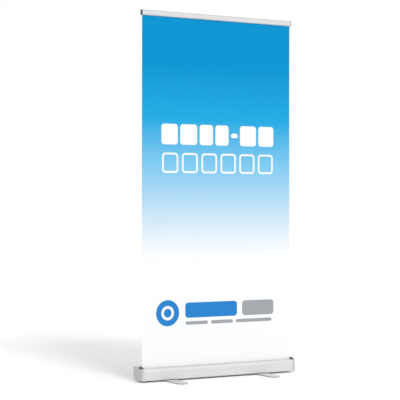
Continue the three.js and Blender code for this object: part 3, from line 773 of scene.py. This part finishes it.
class STAND_OT_end_caps(bpy.types.Operator):
    """Model the moulded end caps, their cheeks and screws, and the lock pin"""

    bl_idname = "stand.end_caps"
    bl_label = "End caps"

    def execute(self, context):
        screws = {place: middle(f"cap_screw_right_{place}") for place in ("low", "high")}
        self.caps(context.scene.stand_sizes.shoulder, screws.values())
        self.cheeks()
        for place, (y, z) in screws.items():
            screw = self.pan_screw(f"cap_bolt_right_{place}", y, z)
            other = mirrored(screw, f"cap_bolt_left_{place}")
            for end, piece in (("right", screw), ("left", other)):
                stand_for(smooth(piece), "steel", f"cap_screw_{end}_{place}")
        self.lock_knob()
        return {"FINISHED"}

    def caps(self, shoulder, screws):
        """Hollow caps with a rounded rim and a recess for each screw. The right one has the knob's hole."""
        front, back = FRONT - PROUD, BACK + PROUD
        inner, outer = CAP_LOW.x, CAP_HIGH.x
        rim, wall, face = 2.4 * MM, 3 * MM, 3.2 * MM
        outline = from_slot((6, 88.1), (6, 77.3), (front, 76.9), (front, 8.9), (back - 1, 8.9),
                            (back - 0.1, 52), (back - 1.2, 88.1))
        rounds = [(2, shoulder), (3, 4.5 * MM), (4, 27 * MM), (5, 14 * MM), (6, 4 * MM)]
        cap = bar("moulded_cap_right", outline, inner, outer, rounds)
        pick(cap, "EDGE", lambda a, b: min(a.x, b.x) > outer - NEAR)
        bpy.ops.mesh.bevel(offset=rim, offset_type="OFFSET", segments=5, affect="EDGES")
        leave()
        pick(cap, "FACE", lambda centre, normal: normal.x < -0.99 and centre.x < inner + NEAR)
        bpy.ops.mesh.inset(thickness=wall, depth=-(outer - inner - face))
        leave()
        for y, z in screws:
            carve(cap, rod("recess", 3.7 * MM, (outer - 2 * MM, y, z), (outer + 5 * MM, y, z)))
        twin = mirrored(cap, "moulded_cap_left")
        y, z = middle("lock_pin")
        carve(cap, rod("knob_hole", 6.6 * MM, (outer - 3.6 * MM, y, z), (outer + 5 * MM, y, z), 48))
        for end, piece in (("right", cap), ("left", twin)):
            soften(piece, 0.3 * MM, 2, 50)
            stand_for(smooth(piece), "cap", f"end_cap_{end}")

    def cheeks(self):
        """Dark plastic beside the film's edges, sloped at the front and level at the back."""
        low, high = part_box("slot_cheek_right")
        outline = [(low.y, low.z), (low.y + 3 * MM, low.z + 5.5 * MM), (low.y + 20 * MM, high.z),
                   (high.y, high.z), (high.y, low.z)]
        cheek = bar("cheek_right", outline, low.x, high.x, [(1, 3 * MM), (2, 8 * MM)], 8)
        soften(cheek, 0.8 * MM, 3, 40)
        for end, piece in (("right", cheek), ("left", mirrored(cheek, "cheek_left"))):
            stand_for(smooth(piece), "dark", f"slot_cheek_{end}")

    def pan_screw(self, name, y, z):
        """Screw with a domed head and a cross recess, its axis along X."""
        head = CAP_HIGH.x - 1.7 * MM
        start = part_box("cap_screw_right_low")[0].x
        shank = 1.8 * MM
        profile = [(0, start), (1.2 * MM, start), (shank, start + 3 * MM), (shank, head), (3.3 * MM, head),
                   (3.3 * MM, head + 0.7 * MM), (2.9 * MM, head + 1.15 * MM),
                   (2.0 * MM, head + 1.42 * MM), (0, head + 1.5 * MM)]
        screw = turn(name, profile, (0, y, z), "X", 32)
        for turned in (0.0, math.pi / 2):
            slot = begin("cross", bpy.ops.mesh.primitive_cube_add, size=1, location=(head + 1.3 * MM, y, z),
                         rotation=(turned, 0, 0), scale=(1.6 * MM, 0.7 * MM, 3.4 * MM))
            carve(screw, slot)
        return screw

    def lock_knob(self):
        """The lock pin's knob and shank, with hollows round the knob for grip and a sunk face."""
        low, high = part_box("lock_pin")
        y, z = middle("lock_pin")
        radius, shank, sides = (high.z - low.z) / 2, 1.8 * MM, 48
        profile = [(0, low.x), (1.3 * MM, low.x), (shank, low.x + 1 * MM), (shank, high.x - 3 * MM),
                   (radius, high.x - 3 * MM), (radius, high.x - 0.8 * MM), (radius - 0.8 * MM, high.x),
                   (0, high.x)]
        knob = turn("lock_knob", profile, (0, y, z), "X", sides)
        rim = high.x - 1.9 * MM

        def in_hollow(centre, normal):
            """Every third side of the rim."""
            side = int(round(math.atan2(centre.z - z, centre.y - y) / (2 * math.pi) * sides - 0.5))
            return abs(centre.x - rim) < 0.5 * MM and abs(normal.x) < 0.1 and side % 3 == 0

        pick(knob, "FACE", in_hollow)
        bpy.ops.mesh.inset(thickness=0.05 * MM, depth=-0.25 * MM, use_individual=True)
        leave()
        pick(knob, "FACE", lambda centre, normal: normal.x > 0.99 and centre.x > high.x - NEAR)
        bpy.ops.mesh.inset(thickness=1.2 * MM, depth=-0.4 * MM)
        leave()
        stand_for(smooth(knob), "black", "lock_pin")


class STAND_OT_film(bpy.types.Operator):
    """Make the printed film, in the part that comes down with the rail and the part that winds in"""

    bl_idname = "stand.film"
    bl_label = "Film"

    def execute(self, context):
        sizes = context.scene.stand_sizes
        upper = self.sheet("film_print_upper", FILM_SPLIT, FILM_HIGH.z, 64, sizes)
        lower = self.sheet("film_print_lower", FILM_LOW.z, FILM_SPLIT, 96, sizes)
        for piece, node, top in ((upper, "film_upper", FILM_HIGH.z), (lower, "film_lower", FILM_SPLIT)):
            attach(piece, body_of(node))
            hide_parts(node)
        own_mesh(lower)
        return {"FINISHED"}

    def sheet(self, name, z0, z1, rows, sizes):
        """A grid stood upright, bowed and waved a little, mapped for the print and given its thickness."""
        x0, x1 = FILM_LOW.x, FILM_HIGH.x
        columns = 60
        centre = ((x0 + x1) / 2, FILM_Y, (z0 + z1) / 2)
        sheet = begin(name, bpy.ops.mesh.primitive_grid_add, x_subdivisions=columns, y_subdivisions=rows,
                      size=1, location=centre, rotation=(math.pi / 2, 0, 0))
        open_all(sheet)
        bpy.ops.transform.resize(value=(x1 - x0, 1, z1 - z0), center_override=centre)
        leave()
        mesh = sheet.data
        span = RAIL_BOTTOM - SHELL_HIGH.z
        for vertex in mesh.vertices:
            place = vertex.co
            share = min(1.0, max(0.0, (place.z - SHELL_HIGH.z) / span))
            free = math.sin(math.pi * share) ** 0.8
            across = place.x / (x1 - x0) * 2
            bow = sizes.film_bow * (across ** 4) * free
            wave = sizes.film_wave * free * math.sin(7.3 * place.x + 1.1 * math.sin(2.6 * place.z))
            ripple = 0.25 * sizes.film_wave * free * math.sin(31 * place.x + 2.0 * place.z)
            place.y += bow + wave + ripple
        layer = mesh.uv_layers[0]
        layer.name = PRINT_MAP
        for loop in mesh.loops:
            place = mesh.vertices[loop.vertex_index].co
            layer.data[loop.index].uv = (place.x - x0, place.z - SHELL_HIGH.z)
        only(sheet)
        modifier = sheet.modifiers.new("film", "SOLIDIFY")
        modifier.thickness = sizes.film_thickness
        modifier.offset = 0
        modifier.material_offset = 1         # the back of the sheet takes the second material
        mesh.materials.append(finishes()["print"])
        mesh.materials.append(finishes()["backing"])
        bpy.ops.object.modifier_apply(modifier=modifier.name)
        return smooth(sheet)


class STAND_OT_rail(bpy.types.Operator):
    """Model the top rail: back profile, front jaw, end caps and pole hook"""

    bl_idname = "stand.rail"
    bl_label = "Top rail"

    def execute(self, context):
        back = from_rail((1.3, 0.5), (10, 0.5), (10, 9.7), (9.6, 10), (10, 10.3), (10, 32), (-6.2, 32),
                         (-6, 28.9), (-4.8, 28.4), (-1.4, 25.4), (2.9, 25.4), (2.9, 11), (1.3, 10))
        self.extrusion("rail_back", back, [(1, 2 * MM), (5, 6.5 * MM), (6, 3 * MM)])
        jaw = from_rail((-4.6, 27.6), (-10, 26.6), (-10, 19.9), (-9.65, 19.6), (-10, 19.3), (-10, 0.6),
                        (0.1, 0), (0.1, 5), (-1.6, 6.2), (-8.3, 7.6), (-8.3, 25), (-3.6, 25.8),
                        (-2.2, 26.8), (-2.4, 28.4), (-4.2, 28.6))
        self.extrusion("rail_jaw", jaw, [(1, 5 * MM), (5, 8.6 * MM), (9, 5 * MM), (10, 4 * MM)])

        outline = from_rail((10, 0), (10, 32), (-8.4, 32), (-10, 20), (-10, 0))
        rounds = [(0, 2.4 * MM), (1, 6.5 * MM), (2, 6 * MM), (4, 8.8 * MM)]
        cap = bar("rail_end_right", outline, RAIL_END_LOW.x, RAIL_END_HIGH.x, rounds, 8)
        soften(cap, 0.6 * MM, 3, 40)
        for end, piece in (("right", cap), ("left", mirrored(cap, "rail_end_left"))):
            stand_for(smooth(piece), "dark", f"rail_cap_{end}")

        hook = refined("pole_hook", 0.5 * MM, "pole_hook_moulding")
        stand_for(hook, "black", "pole_hook")
        for end in ENDS:
            node = f"hook_screw_{end}"
            stand_for(refined(node, 0.15 * MM), "steel", node)
        return {"FINISHED"}

    def extrusion(self, node, outline, rounds):
        """One of the rail's aluminium profiles, as long as its CAD node."""
        low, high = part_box(node)
        profile = bar(f"{node}_profile", outline, low.x, high.x, rounds, 8)
        stand_for(smooth(profile), "profile", node)


class STAND_OT_pole(bpy.types.Operator):
    """Model the telescopic pole, its collars, socket and tip"""

    bl_idname = "stand.pole"
    bl_label = "Pole"

    def execute(self, context):
        for section, wall in (("lower", 1.1 * MM), ("mid", 1.0 * MM), ("upper", 1.0 * MM)):
            self.tube(section, wall)
        self.collar("lower", "pole_lower", "pole_mid", context.scene.stand_sizes.collar_ribs)
        self.collar("upper", "pole_mid", "pole_upper", context.scene.stand_sizes.collar_ribs)
        self.socket()
        self.tip()
        return {"FINISHED"}

    def tube(self, section, wall):
        """Tube with its outer edges rolled in a little."""
        node = f"pole_{section}"
        low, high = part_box(node)
        radius, roll = (high.x - low.x) / 2, 0.35 * MM
        bore = radius - wall
        profile = [(bore, low.z), (radius - roll, low.z), (radius, low.z + roll), (radius, high.z - roll),
                   (radius - roll, high.z), (bore, high.z)]
        tube = smooth(turn(f"tube_{section}", profile, (0, POLE_Y, 0)))
        stand_for(tube, "tube", node)

    def collar(self, place, held, sliding, ribs):
        """Twist collar: a turned body whose every second side is raised into a grip rib."""
        node = f"collar_{place}"
        low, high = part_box(node)
        tube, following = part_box(held)[1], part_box(sliding)[1]
        radius = (high.x - low.x) / 2 - 0.55 * MM
        wide, narrow = tube.x + 0.3 * MM, following.x + 0.3 * MM
        z0, z1, step = low.z, high.z, tube.z + 0.3 * MM
        rib_low, rib_high = z0 + 4.5 * MM, z1 - 10.5 * MM
        profile = [(wide, z0), (radius - 1.0 * MM, z0), (radius - 0.3 * MM, z0 + 0.6 * MM),
                   (radius, z0 + 3 * MM), (radius, rib_low), (radius, rib_high), (radius, z1 - 9 * MM),
                   (radius - 0.7 * MM, z1 - 5 * MM), (radius - 2.2 * MM, z1 - 0.6 * MM),
                   (radius - 2.8 * MM, z1), (narrow, z1), (narrow, step), (wide, step)]
        collar = turn(f"twist_{place}", profile, (0, POLE_Y, 0), steps=2 * ribs)

        def on_rib(centre, normal):
            """Every second side between the ribs' ends."""
            turned = math.atan2(centre.y - POLE_Y, centre.x) / (2 * math.pi) * 2 * ribs
            outside = math.hypot(centre.x, centre.y - POLE_Y) > radius - 0.5 * MM
            level = abs(centre.z - (rib_low + rib_high) / 2) < 1 * MM
            return outside and level and int(math.floor(turned)) % 2 == 0

        pick(collar, "FACE", on_rib)
        bpy.ops.mesh.inset(thickness=0.35 * MM, depth=0.5 * MM, use_individual=True)
        leave()
        stand_for(smooth(collar, 25), "black", node)

    def socket(self):
        """Ring that the pole stands in, with a flange on the cassette's top."""
        low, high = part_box("pole_socket")
        outer, bore, flange = 13.2 * MM, 11.4 * MM, (high.x - low.x) / 2
        seat, floor = SHELL_HIGH.z + 0.3 * MM, low.z + 3 * MM
        profile = [(0, low.z), (outer, low.z), (outer, seat), (flange, seat), (flange, seat + 1.2 * MM),
                   (flange - 0.6 * MM, seat + 2.1 * MM), (flange - 2 * MM, high.z), (12.2 * MM, high.z),
                   (bore, high.z - 0.8 * MM), (bore, floor), (0, floor)]
        socket = smooth(turn("pole_socket_ring", profile, (0, POLE_Y, 0)), 40)
        stand_for(socket, "dark", "pole_socket")

    def tip(self):
        """Plug in the top tube, with a shoulder under the rail and a nose that goes into the hook."""
        low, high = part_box("pole_tip")
        plug, shoulder, nose = 6.7 * MM, 8.6 * MM, 5 * MM
        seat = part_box("pole_upper")[1].z + 0.3 * MM
        profile = [(0, low.z), (plug, low.z), (plug, seat), (shoulder - 0.4 * MM, seat),
                   (shoulder, seat + 0.6 * MM), (shoulder, RAIL_BOTTOM - 0.8 * MM),
                   (shoulder - 0.8 * MM, RAIL_BOTTOM), (nose, RAIL_BOTTOM), (nose, high.z - 1.6 * MM),
                   (nose - 0.8 * MM, high.z - 0.5 * MM), (nose - 2 * MM, high.z), (0, high.z)]
        tip = smooth(turn("pole_tip_plug", profile, (0, POLE_Y, 0)), 40)
        stand_for(tip, "black", "pole_tip")


class STAND_OT_feet(bpy.types.Operator):
    """Model the swivelling feet with their pads and pivots"""

    bl_idname = "stand.feet"
    bl_label = "Feet"

    def execute(self, context):
        for end in ENDS:
            self.plate(end)
            for part, width, finish in (("pivot_bolt", 0.2 * MM, "steel"), ("stop_stud", 0.4 * MM, "steel"),
                                        ("pivot_washer", 0.25 * MM, "nylon")):
                node = f"{part}_{end}"
                stand_for(refined(node, width), finish, node)
            for place in ("front", "back"):
                self.pad(f"foot_pad_{end}_{place}")
        return {"FINISHED"}

    def plate(self, end):
        """Flat bar with round ends and a hole for its pivot."""
        low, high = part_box(f"foot_{end}")
        centre, size = (low + high) / 2, high - low
        plate = begin(f"foot_plate_{end}", bpy.ops.mesh.primitive_cube_add, size=1, location=centre,
                      scale=size)
        pick(plate, "EDGE", lambda a, b: abs(a.z - b.z) > 1 * MM)
        bpy.ops.mesh.bevel(offset=size.x / 2 - 0.05 * MM, offset_type="OFFSET", segments=24, affect="EDGES")
        leave()
        through = Vector((0, 0, 10 * MM))
        carve(plate, rod("pivot_hole", 3.3 * MM, centre - through, centre + through, 48))
        soften(plate, 0.7 * MM, 3, 50)
        stand_for(smooth(plate), "coat", f"foot_{end}")

    def pad(self, node):
        """Rubber pad with two grip grooves in its underside."""
        low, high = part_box(node)
        centre = (low + high) / 2
        radius = (high.x - low.x) / 2
        sole, groove = low.z, low.z + 0.6 * MM
        profile = [(0, sole), (3 * MM, sole), (3.4 * MM, groove), (4.6 * MM, groove), (5 * MM, sole),
                   (7.4 * MM, sole), (7.8 * MM, groove), (9 * MM, groove), (9.4 * MM, sole),
                   (radius - 0.9 * MM, sole), (radius - 0.25 * MM, sole + 0.3 * MM),
                   (radius, sole + 0.9 * MM), (radius, high.z - 0.3 * MM), (radius - 0.3 * MM, high.z),
                   (0, high.z)]
        pad = smooth(turn(f"{node}_moulding", profile, (centre.x, centre.y, 0), steps=48), 40)
        stand_for(pad, "rubber", node)


class STAND_OT_inside(bpy.types.Operator):
    """Give the CAD pieces inside the cassette and the pole their materials"""

    bl_idname = "stand.inside"
    bl_label = "Inside"

    FINISH = {
        "aluminium": "profile", "cap_grey": "cap", "dark_plastic": "dark", "black_plastic": "black",
        "powder_coat": "coat", "steel": "steel", "rubber": "rubber", "film": "print", "leader": "backing",
        "nylon": "nylon",
    }

    def execute(self, context):
        for row in frame["record"]["subparts"]:
            node = frame["nodes"][row["node"]]
            if not node.hide_render:
                node.data.materials.clear()
                node.data.materials.append(finishes()[self.FINISH[row["material_slot"]]])
        return {"FINISHED"}


# ---- Stage ---------------------------------------------------------------------------
FLOOR_SIDE = 4000                # metres, so that its edge can't be told from the surroundings
KEY_WAY = (0.06, 1.0, -0.75)     # the way that the key light travels
LOOKED_OVER = (-0.0887, SLOT_Y + 0.0574)     # the place on the floor that the camera looks over
LENS_RISE = 0.015                # the lens's shift upwards, as a share of the sensor's width


class STAND_OT_stage(bpy.types.Operator):
    """Set the floor, the lights and the camera"""

    bl_idname = "stand.stage"
    bl_label = "Stage"

    def execute(self, context):
        studio = context.scene.studio
        floor = begin("studio_floor", bpy.ops.mesh.primitive_plane_add, size=FLOOR_SIDE, location=(0, 0, 0))
        recipe = Recipe("studio floor", 0.9, specular=0.05)
        tone = recipe.noise(recipe.stretched((1.0, 1.0, 1.0)), 1.5, 2.0)
        recipe.colour(recipe.ramp(tone, [(0.2, (0.94, 0.94, 0.94)), (0.8, (0.96, 0.96, 0.96))]))
        floor.data.materials.append(recipe.material)
        self.surroundings(studio)
        self.key_light(studio)
        self.camera(studio)
        return {"FINISHED"}

    def surroundings(self, studio):
        """White light from all round, dimmer from the left."""
        world = bpy.data.worlds.new("studio")
        bpy.context.scene.world = world
        world.use_nodes = True
        tree = world.node_tree
        background = tree.nodes["Background"]
        way = tree.nodes.new("ShaderNodeTexCoord")
        parts = tree.nodes.new("ShaderNodeSeparateXYZ")
        dimmer = tree.nodes.new("ShaderNodeMapRange")
        settings = {"From Min": -0.9, "From Max": 0.1, "To Min": studio.ambient * studio.dim,
                    "To Max": studio.ambient}
        for name, value in settings.items():
            dimmer.inputs[name].default_value = value
        tree.links.new(way.outputs["Generated"], parts.inputs[0])
        tree.links.new(parts.outputs["X"], dimmer.inputs["Value"])
        tree.links.new(dimmer.outputs[0], background.inputs["Strength"])
        background.inputs["Color"].default_value = (1, 1, 1, 1)

    def key_light(self, studio):
        """Soft light from the front, high up."""
        data = bpy.data.lights.new("key_light", "SUN")
        data.energy = studio.key
        data.angle = studio.key_size
        light = bpy.data.objects.new("key_light", data)
        bpy.context.scene.collection.objects.link(light)
        light.rotation_euler = Vector(KEY_WAY).to_track_quat("-Z", "Y").to_euler()

    def camera(self, studio):
        """Level camera on one side of the print."""
        data = bpy.data.cameras.new("camera")
        camera = bpy.data.objects.new("camera", data)
        bpy.context.scene.collection.objects.link(camera)
        way = Vector((-math.sin(studio.azimuth), math.cos(studio.azimuth), 0))
        camera.location = Vector((*LOOKED_OVER, studio.height)) - way * studio.distance
        camera.rotation_euler = (math.pi / 2, 0, studio.azimuth)
        data.lens = studio.lens
        data.sensor_width = 36
        data.shift_y = LENS_RISE
        data.clip_end = 100
        bpy.context.scene.camera = camera
        bpy.context.scene.view_settings.view_transform = "Standard"


PIECES = (STAND_OT_cassette, STAND_OT_end_caps, STAND_OT_film, STAND_OT_rail, STAND_OT_pole, STAND_OT_feet,
          STAND_OT_inside, STAND_OT_stage)


class STAND_PT_panel(bpy.types.Panel):
    """Lists the settings and the operators"""

    bl_label = "Banner stand"
    bl_idname = "STAND_PT_panel"
    bl_space_type = "VIEW_3D"
    bl_region_type = "UI"
    bl_category = "Banner"

    def draw(self, context):
        column = self.layout.column()
        for group in (context.scene.stand_colours, context.scene.stand_sizes, context.scene.studio):
            for name in group.__annotations__:
                column.prop(group, name)
        for piece in PIECES:
            column.operator(piece.bl_idname)


CLASSES = (StandColours, StandSizes, StudioSettings, *PIECES, STAND_PT_panel)


def register():
    for cls in CLASSES:
        bpy.utils.register_class(cls)
    bpy.types.Scene.stand_colours = PointerProperty(type=StandColours)
    bpy.types.Scene.stand_sizes = PointerProperty(type=StandSizes)
    bpy.types.Scene.studio = PointerProperty(type=StudioSettings)


def unregister():
    for name in ("stand_colours", "stand_sizes", "studio"):
        delattr(bpy.types.Scene, name)
    for cls in reversed(CLASSES):
        bpy.utils.unregister_class(cls)


def main():
    """Builds the stand and its studio."""
    register()
    for name in ("cassette", "end_caps", "film", "rail", "pole", "feet", "inside", "stage"):
        getattr(bpy.ops.stand, name)()


if __name__ == "__main__":
    main()
